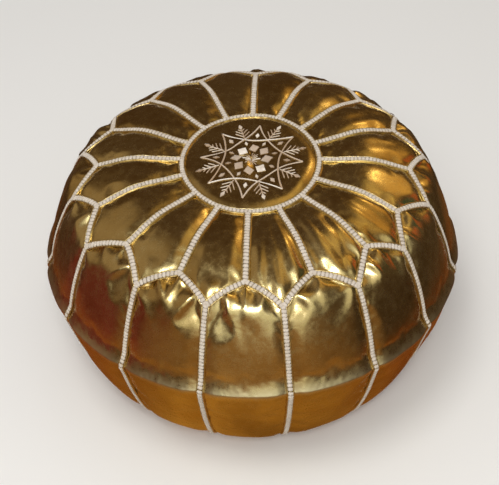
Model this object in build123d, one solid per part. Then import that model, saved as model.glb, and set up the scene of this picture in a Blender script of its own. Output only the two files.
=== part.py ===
"""Moroccan leather pouf: a stuffed round floor seat with a hand-sewn leather cover.

The cover has a round medallion, sixteen pointed petals around it, sixteen side panels that fill the
notches between the petals and run over the crease to the underside, and a round base with a zip.
Raised ladder stitching covers every seam. Inside are a cotton liner and the stuffing.

Millimetres, +Z up. The origin is on the floor, under the middle of the base. A radial seam of the
top points along -Y, and the zip runs along X.
"""
import os
from math import asin, atan2, ceil, cos, degrees, radians, sin

from build123d import *

# ---- Body: half outline as tangent arcs, each given by its radius and the slope where it ends ----
HEIGHT = 304.0            # floor to crown
CROWN_RADIUS = 1030.0     # gentle dome of the top
PEAK_RADIUS = 198.0       # distance from the axis to the side panels' peaks, where the dome ends
SHOULDER_RADIUS = 54.4    # turn from the dome to the side
SHOULDER_END = 62.0       # outward normal from +Z, degrees
SIDE_RADIUS = 349.0
SIDE_END = 79.0
CREASE_RADIUS = 8.0       # the fold that rings the widest part
CREASE_END = 96.0
LOWER_RADIUS = 400.0
LOWER_END = 112.0
BAND_ANGLE = 9.0          # the arcs are built as conical bands, each at most this turn
BAND_LENGTH = 40.0        # and this length

# ---- Seams, in plan ----
SECTORS = 16
STEP = 360.0 / SECTORS    # angle between radial seams
MEDALLION_RADIUS = 91.5
TIP_RADIUS = 228.0        # petal tips, halfway between two peaks
BASE_RADIUS = 192.0       # base disc's seam
SEAM_GAP = 0.8            # between neighbouring leather edges
STITCH_WIDTH = 6.8        # ladder stitching over petal and side seams
RING_STITCH_WIDTH = 5.6   # ladder stitching around the medallion and the base

# ---- Layers ----
LEATHER = 1.6
LINER = 0.8
LAYER_GAP = 0.3
STITCH_HEIGHT = 1.3
THREAD_HEIGHT = 0.7       # embroidery thread
LAYER_LIFT = 0.05         # stitching and embroidery above the leather

# ---- Embroidery on the medallion ----
POINTS = 8
POINT_STEP = 360.0 / POINTS
STAR_RADIUS = 65.0        # star points
STAR_SAG = 10.0           # how far each side of a square bows towards the axis
STAR_LINE = 2.2
POINT_DIAMOND = (51.0, 7.0, 5.0)      # radius of its middle, length, width
CENTRE_DIAMOND = (19.5, 9.0, 8.0)
SPRIG_START = 43.0
SPRIG_LEAF = (64.0, 9.0, 5.0)
SPRIG_BRANCHES = ((47.0, 6.5), (54.0, 5.0))  # radius where each pair leaves the stem, branch length
SPRIG_LINE = 1.4
BRANCH_SPREAD = 52.0      # degrees from the stem
ROSETTE_RAYS = 16
ROSETTE = (3.5, 12.5, 0.9)            # inner radius, outer radius, ray width

# ---- Zip in the base ----
SLIT_LENGTH = 340.0
SLIT_WIDTH = 12.0
HEM_HEIGHT = 4.4          # leather turned in along the slit, up to the tape
TAPE_LENGTH = 336.0
TAPE_INNER = 1.9          # from the zip's middle to the tape's beaded edge
TAPE_OUTER = 16.0
TAPE_THICKNESS = 0.7
TAPE_Z = 4.5
TEETH_LENGTH = 316.0
TOOTH_PITCH = 4.0
TOOTH_LENGTH = 2.2
TOOTH_INNER = 0.6
TOOTH_HEIGHT = 1.7
CORD = 1.0                # bead that carries the teeth
SLIDER_X = 148.0          # closed
SLIDER_LENGTH = 12.0
SLIDER_WIDTH = 9.0
PLATE = 1.0
PLATE_CLEARANCE = 0.5     # slider plates to teeth
BRIDGE_WIDTH = 0.8
BRIDGE_LENGTH = 4.0
STAPLE_WIDTH = 1.2
STAPLE_BAR = 0.5
STAPLE_OPENING = 1.8
PIN_RADIUS = 0.6
TAB_LENGTH = 22.0
TAB_WIDTH = 6.0
TAB_THICKNESS = 0.9
TAB_ARM = 1.5
STOP_LENGTH = 3.0

# ---- Cutting tools reach past the body on every side ----
REACH = 400.0
ABOVE = HEIGHT + 10.0
BELOW = -10.0
RIBBON_GAP = 0.3          # between two stitching ribbons that meet
MITRE_MARGIN = 0.03       # degrees kept clear of a mitre between two ribbons


def polar(radius, angle):
    """Plan point at a radius and an angle in degrees."""
    return (radius * cos(radians(angle)), radius * sin(radians(angle)))


def slope(angle):
    """Unit vector in the half outline's plane, leaning `angle` degrees from +Z."""
    return Vector(sin(radians(angle)), 0, cos(radians(angle)))


def outline_arcs():
    """Centre, radius, start and end slope of each arc, from the crown to the floor."""
    arcs = []
    point = Vector(0, 0, HEIGHT)
    start = 0.0
    spans = (
        (CROWN_RADIUS, degrees(asin(PEAK_RADIUS / CROWN_RADIUS))),
        (SHOULDER_RADIUS, SHOULDER_END),
        (SIDE_RADIUS, SIDE_END),
        (CREASE_RADIUS, CREASE_END),
        (LOWER_RADIUS, LOWER_END),
    )
    for radius, end in spans:
        centre = point - slope(start) * radius
        arcs.append((centre, radius, start, end))
        point = centre + slope(end) * radius
        start = end
    tuck_radius = point.Z / (1 + cos(radians(start)))
    centre = point - slope(start) * tuck_radius
    arcs.append((centre, tuck_radius, start, 180.0))
    return arcs


def body(inset):
    """The whole cushion shape, `inset` under the leather's outer face (negative: above it)."""
    edges = []
    for centre, radius, start, end in outline_arcs():
        reach = radius - inset
        turn = end - start
        bands = ceil(max(turn / BAND_ANGLE, radius * radians(turn) / BAND_LENGTH))
        points = [centre + slope(start + turn * index / bands) * reach for index in range(bands + 1)]
        edges.extend(Line(*pair) for pair in zip(points, points[1:]))
    crown = Vector(0, 0, HEIGHT - inset)
    floor = Vector(0, 0, inset)
    edges.append(Line(edges[-1] @ 1, floor))
    edges.append(Line(floor, crown))
    return revolve(make_face(edges), axis=Axis.Z)


def skin(outer_inset, inner_inset):
    return body(outer_inset) - body(inner_inset)


def prism(points, low, high):
    """Plan polygon raised from `low` to `high`."""
    return extrude(Pos(0, 0, low) * make_face(Polyline(*points, close=True)), high - low)


def block(x, y, z):
    """Box from its limits along each axis."""
    return Pos((x[0] + x[1]) / 2, (y[0] + y[1]) / 2, (z[0] + z[1]) / 2) * Box(
        x[1] - x[0], y[1] - y[0], z[1] - z[0]
    )


def disc(radius, low, high):
    return Pos(0, 0, low) * Cylinder(radius, high - low, align=(Align.CENTER, Align.CENTER, Align.MIN))


def ring(radius, width, low, high):
    return disc(radius + width / 2, low, high) - disc(radius - width / 2, low, high)


def turned(shape, angle):
    return Rot(0, 0, angle) * shape


def around(shape, count):
    """Copies of a shape, evenly spaced about the axis, starting at the front."""
    return [turned(shape, -90 + index * 360 / count) for index in range(count)]


def wedge(margin):
    """Plan outline of one sector centred on +X, `margin` inside its two bounding planes."""
    apex = margin / sin(radians(STEP / 2))
    far_x, far_y = polar(REACH, STEP / 2)
    return [(apex, 0), (apex + far_x, -far_y), (apex + far_x, far_y)]


# Chevron seams join a peak on +X to the petal tip half a step away.
TIP_X, TIP_Y = polar(TIP_RADIUS, STEP / 2)
CHEVRON_LEAN = degrees(atan2(TIP_Y, TIP_X - PEAK_RADIUS))
CHEVRON_LENGTH = TIP_Y / sin(radians(CHEVRON_LEAN))
CREASE_Z = outline_arcs()[3][0].Z
UNDERSIDE_Z = CREASE_Z / 2


def star_corner(margin):
    """Plan outline of the petal star inside one sector centred on a peak, grown by `margin`."""
    peak = (PEAK_RADIUS + margin / sin(radians(CHEVRON_LEAN)), 0)
    tip_radius = TIP_RADIUS + margin / sin(radians(CHEVRON_LEAN - STEP / 2))
    return [(0, 0), polar(tip_radius, -STEP / 2), peak, polar(tip_radius, STEP / 2)]


def petal(leather):
    """One petal, centred on +X: two half sectors of the star, clear of the medallion."""
    half = SEAM_GAP / 2
    lower = turned(prism(star_corner(-half), UNDERSIDE_Z, ABOVE), STEP / 2)
    upper = turned(prism(star_corner(-half), UNDERSIDE_Z, ABOVE), -STEP / 2)
    sector = prism(wedge(half), UNDERSIDE_Z, ABOVE)
    return (leather & sector & (lower + upper)) - disc(MEDALLION_RADIUS + half, CREASE_Z, ABOVE)


def side_panel(leather):
    """One side panel, centred on +X, from its peak over the crease to the base seam."""
    half = SEAM_GAP / 2
    strip = leather & prism(wedge(half), BELOW, ABOVE)
    return strip - prism(star_corner(half), CREASE_Z, ABOVE) - disc(BASE_RADIUS + half, BELOW, UNDERSIDE_Z)


def chevron_stitching(band):
    """Stitching from one peak to the next petal tip, mitred where it meets its neighbours."""
    peak = Vector(PEAK_RADIUS, 0, 0)
    along = Vector(*polar(1, CHEVRON_LEAN), 0)
    across = Vector(-along.Y, along.X, 0) * (STITCH_WIDTH / 2)
    begin = peak - along * STITCH_WIDTH
    finish = peak + along * (CHEVRON_LENGTH + STITCH_WIDTH)
    corners = [begin - across, finish - across, finish + across, begin + across]
    strip = prism([(c.X, c.Y) for c in corners], CREASE_Z, ABOVE)
    half_sector = [polar(1, STEP / 4), polar(REACH, MITRE_MARGIN), polar(REACH, STEP / 2 - MITRE_MARGIN)]
    sector = prism(half_sector, CREASE_Z, ABOVE)
    return band & strip & sector


def mirrored(shape):
    return mirror(shape, about=Plane.XZ)


def radial_stitching(band):
    start = MEDALLION_RADIUS + RING_STITCH_WIDTH / 2 + RIBBON_GAP
    end = PEAK_RADIUS - STITCH_WIDTH / 2 / sin(radians(CHEVRON_LEAN)) - RIBBON_GAP
    half = STITCH_WIDTH / 2
    return band & block((start, end), (-half, half), (CREASE_Z, ABOVE))


def side_stitching(band):
    """Stitching from a petal tip on +X over the crease to the base seam."""
    start = TIP_RADIUS + STITCH_WIDTH / 2 / sin(radians(CHEVRON_LEAN - STEP / 2)) + RIBBON_GAP
    under_start = BASE_RADIUS + RING_STITCH_WIDTH / 2 + RIBBON_GAP
    half = STITCH_WIDTH / 2
    upper = block((start, REACH), (-half, half), (UNDERSIDE_Z, HEIGHT))
    lower = block((under_start, REACH), (-half, half), (BELOW, CREASE_Z))
    return band & (upper + lower)


def base_panel(leather):
    """Round base with a slit along X, its leather turned in along both sides of the slit."""
    half_length = SLIT_LENGTH / 2
    half_width = SLIT_WIDTH / 2
    panel = leather & disc(BASE_RADIUS - SEAM_GAP / 2, BELOW, UNDERSIDE_Z)
    panel -= block((-half_length, half_length), (-half_width, half_width), (BELOW, UNDERSIDE_Z))
    for side in (-1, 1):
        edges = sorted((side * half_width, side * (half_width + LEATHER)))
        panel += block((-half_length, half_length), edges, (0, HEM_HEIGHT))
    return panel


# ---- Embroidery: plan drawings, then cut from a thin layer over the medallion ----
def bowed_line(start, end, sag, width):
    """Face of a line that bows towards the origin by `sag`."""
    middle = (Vector(*start) + Vector(*end)) / 2
    inward = -middle.normalized()
    centre = middle + inward * sag
    half = width / 2
    outer = ThreePointArc(Vector(*start) - inward * half, centre - inward * half, Vector(*end) - inward * half)
    inner = ThreePointArc(Vector(*end) + inward * half, centre + inward * half, Vector(*start) + inward * half)
    return make_face([outer, Line(outer @ 1, inner @ 0), inner, Line(inner @ 1, outer @ 0)])


def straight_line(start, end, width):
    along = (Vector(*end) - Vector(*start)).normalized()
    across = Vector(-along.Y, along.X, 0) * (width / 2)
    return make_face(
        Polyline(
            Vector(*start) - across, Vector(*end) - across, Vector(*end) + across, Vector(*start) + across, close=True
        )
    )


def diamond(radius, length, width):
    """Diamond with its long axis on +X."""
    return make_face(
        Polyline(
            (radius - length / 2, 0), (radius, -width / 2), (radius + length / 2, 0), (radius, width / 2), close=True
        )
    )


def sprig():
    """Stem along +X with two pairs of branches and a leaf at its end."""
    leaf_radius, leaf_length, leaf_width = SPRIG_LEAF
    face = straight_line((SPRIG_START, 0), (leaf_radius - leaf_length / 2 + 1, 0), SPRIG_LINE)
    face += diamond(leaf_radius, leaf_length, leaf_width)
    for radius, length in SPRIG_BRANCHES:
        for side in (-1, 1):
            dx, dy = polar(length, side * BRANCH_SPREAD)
            face += straight_line((radius, 0), (radius + dx, dy), SPRIG_LINE)
    return face


def star():
    """Two interlaced squares with bowed sides, as one thread network."""
    face = None
    for index in range(POINTS):
        start = polar(STAR_RADIUS, index * POINT_STEP)
        end = polar(STAR_RADIUS, (index + 2) * POINT_STEP)
        line = bowed_line(start, end, STAR_SAG, STAR_LINE)
        face = line if face is None else face + line
    return face


def embroidered(layer, face):
    return layer & extrude(Pos(0, 0, HEIGHT - 20) * face, 40)


# ---- Zip ----
def zip_tape(side):
    edges = sorted((side * TAPE_INNER, side * TAPE_OUTER))
    return block((-TAPE_LENGTH / 2, TAPE_LENGTH / 2), edges, (TAPE_Z, TAPE_Z + TAPE_THICKNESS))


def zip_teeth(side):
    """Teeth and the beaded cord that carries them, beside the tape's edge."""
    middle = TAPE_Z + TAPE_THICKNESS / 2
    cord_edges = sorted((side * (TAPE_INNER - CORD), side * (TAPE_INNER - 0.05)))
    half_length = TEETH_LENGTH / 2
    row = block((-half_length, half_length), cord_edges, (middle - CORD / 2, middle + CORD / 2))
    low, high = middle - TOOTH_HEIGHT / 2, middle + TOOTH_HEIGHT / 2
    tooth_edges = sorted((side * TOOTH_INNER, side * (TAPE_INNER - 0.05)))
    for index in range(int(TEETH_LENGTH / TOOTH_PITCH)):
        x = -half_length + (index + 0.25 + 0.25 * (side + 1)) * TOOTH_PITCH
        row += block((x - TOOTH_LENGTH / 2 + 0.1, x + TOOTH_LENGTH / 2 - 0.1), tooth_edges, (low, high))
    return row


TEETH_LOW = TAPE_Z + TAPE_THICKNESS / 2 - TOOTH_HEIGHT / 2
TEETH_HIGH = TEETH_LOW + TOOTH_HEIGHT
LOWER_PLATE_Z = TEETH_LOW - PLATE_CLEARANCE - PLATE
PIN_Z = LOWER_PLATE_Z - STAPLE_OPENING / 2


def slider():
    """Two plates joined by a narrow bridge between the teeth, with a staple for the pull tab."""
    half_width = SLIDER_WIDTH / 2
    span = (SLIDER_X - SLIDER_LENGTH / 2, SLIDER_X + SLIDER_LENGTH / 2)
    top_z = TEETH_HIGH + PLATE_CLEARANCE
    lower = block(span, (-half_width, half_width), (LOWER_PLATE_Z, LOWER_PLATE_Z + PLATE))
    upper = block(span, (-half_width, half_width), (top_z, top_z + PLATE))
    bridge = block(
        (span[1] - BRIDGE_LENGTH, span[1]), (-BRIDGE_WIDTH / 2, BRIDGE_WIDTH / 2), (LOWER_PLATE_Z, top_z + PLATE)
    )
    frame_half = STAPLE_OPENING / 2 + STAPLE_BAR
    foot = LOWER_PLATE_Z - STAPLE_OPENING - STAPLE_BAR
    staple = block(
        (SLIDER_X - frame_half, SLIDER_X + frame_half), (-STAPLE_WIDTH / 2, STAPLE_WIDTH / 2), (foot, LOWER_PLATE_Z)
    )
    staple -= block(
        (SLIDER_X - STAPLE_OPENING / 2, SLIDER_X + STAPLE_OPENING / 2),
        (-STAPLE_WIDTH, STAPLE_WIDTH),
        (foot + STAPLE_BAR, LOWER_PLATE_Z),
    )
    return lower + upper + bridge + staple


def pull_tab():
    """Flat tab that hangs in the staple by a round pin and lies back along -X."""
    half = TAB_THICKNESS / 2
    low, high = PIN_Z - half, PIN_Z + half
    arm_y = TAB_WIDTH / 2 - TAB_ARM
    pin = Pos(SLIDER_X, 0, PIN_Z) * Rot(90, 0, 0) * Cylinder(PIN_RADIUS, TAB_WIDTH)
    neck_x = SLIDER_X - STAPLE_OPENING / 2 - STAPLE_BAR - 1.0
    tab = block((SLIDER_X - TAB_LENGTH, neck_x), (-TAB_WIDTH / 2, TAB_WIDTH / 2), (low, high))
    for side in (-1, 1):
        edges = sorted((side * arm_y, side * TAB_WIDTH / 2))
        tab += block((neck_x, SLIDER_X), edges, (low, high))
    return tab + pin


def stop_block(x, low_y, high_y):
    low, high = TEETH_LOW - 0.2, TEETH_HIGH + 0.2
    return block((x - STOP_LENGTH / 2, x + STOP_LENGTH / 2), (low_y, high_y), (low, high))


def stop_clearance(side):
    """Room in each tape for the stops."""
    x = TEETH_LENGTH / 2 + 0.4 + STOP_LENGTH / 2
    tools = []
    for end in (-x, x):
        edges = sorted((side * 0.3, side * (TAPE_INNER + 1.6)))
        tools.append(block((end - STOP_LENGTH / 2 - 0.1, end + STOP_LENGTH / 2 + 0.1), edges, (0, UNDERSIDE_Z)))
    return tools


def zip_channel(inset, grow):
    """Room for the zip in the layers above it."""
    length = SLIT_LENGTH / 2 + 12 + grow
    width = TAPE_OUTER + 3 + grow
    top_z = TEETH_HIGH + PLATE_CLEARANCE + PLATE + 1 + grow
    return block((-length, length), (-width, width), (inset - 1, top_z))


def liner():
    outer = LEATHER + LAYER_GAP
    inner = outer + LINER
    return (body(outer) - zip_channel(outer, 0)) - (body(inner) - zip_channel(inner, LINER))


def stuffing():
    inset = LEATHER + LINER + 2 * LAYER_GAP
    return body(inset) - zip_channel(inset, LINER + LAYER_GAP)


def save(name, shapes):
    pieces = shapes if isinstance(shapes, list) else [shapes]
    solids = [solid for piece in pieces for solid in piece.solids()]
    result = solids[0] if len(solids) == 1 else Compound(children=solids)
    export_step(result, f"parts/{name}.step")


def main():
    os.makedirs("parts", exist_ok=True)
    leather = skin(0, LEATHER)
    band = skin(-STITCH_HEIGHT, -LAYER_LIFT)
    thread = skin(-THREAD_HEIGHT, -LAYER_LIFT)

    save("medallion", leather & disc(MEDALLION_RADIUS - SEAM_GAP / 2, CREASE_Z, ABOVE))
    one_petal = turned(petal(leather), STEP / 2)
    for index, piece in enumerate(around(one_petal, SECTORS), start=1):
        save(f"petal_{index:02d}", piece)
    for index, piece in enumerate(around(side_panel(leather), SECTORS), start=1):
        save(f"side_panel_{index:02d}", piece)
    save("base_panel", base_panel(leather))

    save("medallion_ring_stitching", band & ring(MEDALLION_RADIUS, RING_STITCH_WIDTH, CREASE_Z, ABOVE))
    save("radial_seam_stitching", around(radial_stitching(band), SECTORS))
    chevron = chevron_stitching(band)
    save("chevron_seam_stitching", around(chevron, SECTORS) + around(mirrored(chevron), SECTORS))
    save("side_seam_stitching", around(turned(side_stitching(band), STEP / 2), SECTORS))
    save("base_ring_stitching", band & ring(BASE_RADIUS, RING_STITCH_WIDTH, BELOW, UNDERSIDE_Z))

    save("star_embroidery", turned(embroidered(thread, star()), -90))
    save("sprig_embroidery", around(turned(embroidered(thread, sprig()), POINT_STEP / 2), POINTS))
    save("point_diamond_embroidery", around(embroidered(thread, diamond(*POINT_DIAMOND)), POINTS))
    save("centre_diamond_embroidery", around(embroidered(thread, diamond(*CENTRE_DIAMOND)), POINTS))
    ray_start, ray_end, ray_width = ROSETTE
    ray = straight_line((ray_start, 0), (ray_end, 0), ray_width)
    save("rosette_embroidery", around(embroidered(thread, ray), ROSETTE_RAYS))

    for name, side in (("front", -1), ("back", 1)):
        tape = zip_tape(side)
        for tool in stop_clearance(side):
            tape -= tool
        save(f"zip_tape_{name}", tape)
        save(f"zip_teeth_{name}", zip_teeth(side))
    save("zip_slider", slider())
    save("zip_pull_tab", pull_tab())
    stop_x = TEETH_LENGTH / 2 + 0.4 + STOP_LENGTH / 2
    stop_y = TAPE_INNER + 1.5
    save("zip_bottom_stop", stop_block(-stop_x, -stop_y, stop_y))
    save("zip_top_stops", [stop_block(stop_x, -stop_y, -0.5), stop_block(stop_x, 0.5, stop_y)])

    save("inner_liner", liner())
    save("stuffing", stuffing())


if __name__ == "__main__":
    main()
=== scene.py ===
"""Looks of the moroccan leather pouf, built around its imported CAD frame.

The leather cover is one grid whose lines follow the seams. Its seams are pinned, the leather beside them
has length to spare, and a short cloth simulation under pressure swells it into puffs and puckers. The grid
is then cut into petals and side panels. Stitching, lips and embroidery are laid along the same seams.
Metres, +Z up, the frame's own axes.
"""
import math

import bpy
import numpy as np
from mathutils import Matrix, Vector, noise


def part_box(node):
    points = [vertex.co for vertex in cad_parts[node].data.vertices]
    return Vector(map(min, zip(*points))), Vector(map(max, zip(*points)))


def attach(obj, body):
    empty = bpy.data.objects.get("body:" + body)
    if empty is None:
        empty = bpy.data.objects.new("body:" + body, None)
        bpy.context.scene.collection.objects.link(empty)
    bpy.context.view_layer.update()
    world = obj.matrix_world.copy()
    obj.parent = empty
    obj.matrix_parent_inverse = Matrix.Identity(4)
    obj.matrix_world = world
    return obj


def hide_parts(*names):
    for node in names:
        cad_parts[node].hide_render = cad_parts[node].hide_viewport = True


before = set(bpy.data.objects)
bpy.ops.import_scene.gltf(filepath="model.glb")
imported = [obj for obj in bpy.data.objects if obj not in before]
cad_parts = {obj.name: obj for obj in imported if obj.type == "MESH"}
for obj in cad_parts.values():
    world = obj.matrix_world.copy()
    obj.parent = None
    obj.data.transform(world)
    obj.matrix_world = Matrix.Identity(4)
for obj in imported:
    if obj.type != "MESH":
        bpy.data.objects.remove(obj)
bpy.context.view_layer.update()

# ---------------------------------------------------------------- dimensions
MM = 0.001
SECTORS = 16
STEP = 2 * math.pi / SECTORS
FRONT = -math.pi / 2                      # a radial seam points to the front
CROWN_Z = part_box("medallion")[1].z
RING_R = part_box("medallion")[1].x + 0.4 * MM
BASE_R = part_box("base_panel")[1].x + 0.4 * MM
PEAK_R = 198 * MM                         # where a radial seam ends
TIP_R = 228 * MM                          # petal tip
SHOULDER_R, SHOULDER_END = 54.4 * MM, 62.0
SIDE_R, SIDE_END = 349 * MM, 79.0
CREASE_R, CREASE_END = 2.5 * MM, 96.0
LOWER_R, LOWER_END = 404 * MM, 112.0
CROWN_R = 1030 * MM

SEAM_W = 6.6 * MM
RING_SEAM_W = 5.6 * MM
BEAD_PITCH = 4.7 * MM
HALF_COLS = 14                            # grid columns in half a sector
COLS = SECTORS * 2 * HALF_COLS
ROWS_TOP, ROWS_SIDE, ROWS_LOWER = 28, 42, 26
LEATHER = 1.4 * MM
SEAM_SINK = -2.6 * MM                     # stitching lies this far below the plain outline
CLOTH_FRAMES = 18
BEAD_SIDES = 8


# ---------------------------------------------------------------- body outline
def outline_table():
    """Arc length, radius, height and slope of the half outline, from the crown to the middle of the base."""
    spans = [
        (CROWN_R, math.degrees(math.asin(PEAK_R / CROWN_R))),
        (SHOULDER_R, SHOULDER_END),
        (SIDE_R, SIDE_END),
        (CREASE_R, CREASE_END),
        (LOWER_R, LOWER_END),
    ]
    rows = []
    r, z, slope, s = 0.0, CROWN_Z, 0.0, 0.0

    def run(radius, end, count=60):
        nonlocal r, z, slope, s
        r0, z0, a0 = r, z, math.radians(slope)
        for a in np.linspace(a0, math.radians(end), count):
            rows.append((s + radius * (a - a0), r0 + radius * (math.sin(a) - math.sin(a0)),
                         z0 + radius * (math.cos(a) - math.cos(a0)), a))
        s, r, z, slope = rows[-1][0], rows[-1][1], rows[-1][2], end

    for radius, end in spans:
        run(radius, end)
        if radius == SIDE_R:
            crease_s = s + CREASE_R * math.radians(CREASE_END - SIDE_END) / 2
    run(z / (1 + math.cos(math.radians(slope))), 180.0)
    flat_s = s
    rows.append((s + r, 0.0, 0.0, math.pi))
    table = np.array(rows)
    fresh = np.concatenate([[True], np.diff(table[:, 0]) > 1e-9])
    return table[fresh].T, crease_s, flat_s


(S_T, R_T, Z_T, A_T), CREASE_S, FLAT_S = outline_table()
FLAT_R = R_T[-2]                          # the base lies on the floor inside this radius


def top_s(radius):
    """Arc length at which the upper side reaches a radius."""
    upper = S_T <= CREASE_S
    return np.interp(radius, R_T[upper], S_T[upper])


def under_s(radius):
    """Arc length at which the underside comes back to a radius."""
    lower = S_T >= CREASE_S
    return np.interp(-np.asarray(radius), -R_T[lower], S_T[lower])


BASE_S = float(under_s(BASE_R))
LEAN = math.atan2(TIP_R * math.sin(STEP / 2), TIP_R * math.cos(STEP / 2) - PEAK_R)


def hand_made(phi, s):
    """How a hand-stuffed cover differs from the plain outline, along the normal: the petals swell, and
    there are lumps everywhere but near the floor."""
    fade = np.clip((FLAT_S - s) / (60 * MM), 0, 1)
    swell = 8.0 * MM * np.exp(-(((s - 150 * MM) / (38 * MM)) ** 2))
    lumps = 0.5 * np.sin(2 * phi + 0.7) + 0.3 * np.sin(3 * phi + 2.1 + 8 * s)
    lumps = lumps + 0.2 * np.sin(5 * phi + 4 - 20 * s)
    return 2.6 * MM * lumps * fade + swell


def near_angle(phi, degrees, width):
    """1 at an angle from the front (positive to the right), fading out over a width, both in degrees."""
    off = np.mod(phi - FRONT - math.radians(degrees) + math.pi, 2 * math.pi) - math.pi
    return np.exp(-((off / math.radians(width)) ** 2))


def turn_uneven(phi):
    """Seams stray a little from even spacing."""
    stray = 0.006 * np.sin(5 * phi + 1.3) + 0.004 * np.sin(7 * phi + 0.4)
    return phi + stray - 0.040 * near_angle(phi, -56, 15) + 0.026 * near_angle(phi, 34, 13)


def surface(phi, s, lift=0.0):
    """Points on the body and their outward normals, for arrays of angle and arc length."""
    phi, s = np.broadcast_arrays(np.asarray(phi, float), np.asarray(s, float))
    r, z, a = np.interp(s, S_T, R_T), np.interp(s, S_T, Z_T), np.interp(s, S_T, A_T)
    turned = turn_uneven(phi)
    normal = np.stack([np.sin(a) * np.cos(turned), np.sin(a) * np.sin(turned), np.cos(a)], -1)
    point = np.stack([r * np.cos(turned), r * np.sin(turned), z], -1)
    point = point + normal * (hand_made(phi, s) + lift)[..., None]
    return point, normal


def ring_radius(phi):
    """The medallion is a little narrower across than from front to back, and set a little to the front."""
    return RING_R * (0.968 - 0.024 * np.cos(2 * phi) - 0.018 * np.sin(phi))


def ring_s(phi):
    return top_s(ring_radius(phi))


def edge_s(phi):
    """Arc length of the chevron seams at an angle: peaks on radial seams, tips halfway between them."""
    place = np.mod(phi - FRONT, STEP)
    half = np.minimum(place, STEP - place)
    radius = PEAK_R * math.sin(LEAN) / np.sin(LEAN - half)
    bow = -0.9 * MM * np.sin(np.pi * half / (STEP / 2))
    uneven = 2.0 * MM * np.sin(3 * phi + 0.5) + 1.2 * MM * np.sin(7 * phi + 2)
    front = -4.5 * MM * near_angle(phi, 0, 30) - 3.5 * MM * near_angle(phi, -11, 9)
    return top_s(radius + bow) + uneven + front + 6 * MM * near_angle(phi, -56, 11)


def crease_s(phi):
    """Arc length of the crease, which rides a little higher at the front."""
    return CREASE_S - 8 * MM * near_angle(phi, 0, 34)


def crease_lift(phi, s):
    """The crease stands out as a sharp ridge: the leather above flares like a skirt, below it tucks under."""
    d = s - crease_s(phi)
    flare = 6.8 * MM * np.clip(1 + d / (20 * MM), 0, 1) ** 1.5
    above = flare - 3.2 * MM * np.exp(-np.abs(d) / (60 * MM))
    below = 3.6 * MM * np.exp(-np.abs(d) / (16 * MM))
    return np.where(d < 0, above, below)


# ---------------------------------------------------------------- leather grid
def grid_rows():
    """Angle and arc length of every grid point between the medallion and the base seam."""
    phi = FRONT + np.arange(COLS) * 2 * math.pi / COLS
    edge, ring, crease = edge_s(phi), ring_s(phi), crease_s(phi)
    rows = []
    for t in np.linspace(0, 1, ROWS_TOP, endpoint=False):
        rows.append(ring + t * (edge - ring))
    for t in 1 - (1 - np.linspace(0, 1, ROWS_SIDE, endpoint=False)) ** 1.25:
        rows.append(edge + t * (crease - edge))
    for t in np.linspace(0, 1, ROWS_LOWER + 1):
        rows.append(crease + t * (BASE_S - crease))
    return np.broadcast_to(phi, (len(rows), COLS)).copy(), np.array(rows)


PHI, S = grid_rows()
EDGE_ROW = ROWS_TOP
CREASE_ROW = ROWS_TOP + ROWS_SIDE
LAST_ROW = ROWS_TOP + ROWS_SIDE + ROWS_LOWER
COL_IN_SECTOR = np.arange(COLS) % (2 * HALF_COLS)


def seam_distance():
    """Distance from each grid point to the nearest seam, and to the chevron seams alone."""
    radius = np.interp(S, S_T, R_T)
    place = np.mod(PHI - FRONT, STEP)
    to_radial = radius * np.minimum(place, STEP - place)
    to_side = radius * np.abs(place - STEP / 2)
    edge = np.broadcast_to(S[EDGE_ROW], S.shape)
    to_chevron = np.abs(S - edge) * math.cos(math.radians(50))
    row = np.arange(S.shape[0])[:, None]
    top = row <= EDGE_ROW
    along = np.where(top, to_radial, to_side)
    ends = np.where(top, S - S[0], BASE_S - S)
    nearest = np.minimum(np.minimum(along, to_chevron), np.abs(ends))
    return nearest, to_chevron


SEAM_D, CHEVRON_D = seam_distance()


def chance(index, salt):
    """A fixed pseudo-random share between 0 and 1 for a numbered thing."""
    return np.mod(np.sin(np.asarray(index) * 12.9898 + salt * 78.233) * 43758.5453, 1.0)


def soft_noise(points, scale):
    """Smooth noise between about -1 and 1 for an array of points."""
    values = [noise.noise(Vector(p) * scale) for p in points.reshape(-1, 3)]
    return np.array(values).reshape(points.shape[:-1])


def gathers(point):
    """Height of the puckers that the tight chevron stitching draws up: deep and short in the side panels,
    long and shallow in the petals, bolder on the petals right of the front. They differ from seam to seam
    and die out away from it."""
    row = np.arange(S.shape[0])[:, None]
    side = row > EDGE_ROW
    half_index = np.floor(np.mod(PHI - FRONT, 2 * math.pi) / (STEP / 2) + 1e-9)
    place = np.mod(PHI - FRONT, STEP)
    share = np.minimum(place, STEP - place) / (STEP / 2)
    below = np.abs(S - S[EDGE_ROW])
    bold = near_angle(PHI, 38, 26)
    slant = np.where(side, 0.15 + 0.6 * chance(half_index, 8), 0.0)
    along = share * 54 * MM + slant * below + 9 * MM * soft_noise(point, 16)
    wave = np.where(side, 30 + 20 * chance(half_index, 1), 30 + 14 * chance(half_index, 2)) * MM
    reach = np.where(side, 22 + 18 * chance(half_index, 3), 40 + 30 * chance(half_index, 4) + 12 * bold) * MM
    shallow = 0.2 + 0.8 * chance(half_index, 6) ** 2 + 2.0 * bold
    high = np.where(side, 3.6 + 2.4 * chance(half_index, 5), shallow) * MM
    phase = 2 * math.pi * (along / wave + chance(half_index, 7))
    start = 1 - np.exp(-((below / (6 * MM)) ** 2))
    ends = np.sin(np.pi * np.clip(share, 0.0, 1.0)) ** 0.5
    fold = np.where(side, 1 - 2 * np.abs(np.sin(phase / 2)) ** 0.8, np.cos(phase))
    return high * fold * start * ends * np.exp(-((below / reach) ** 1.6))


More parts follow.
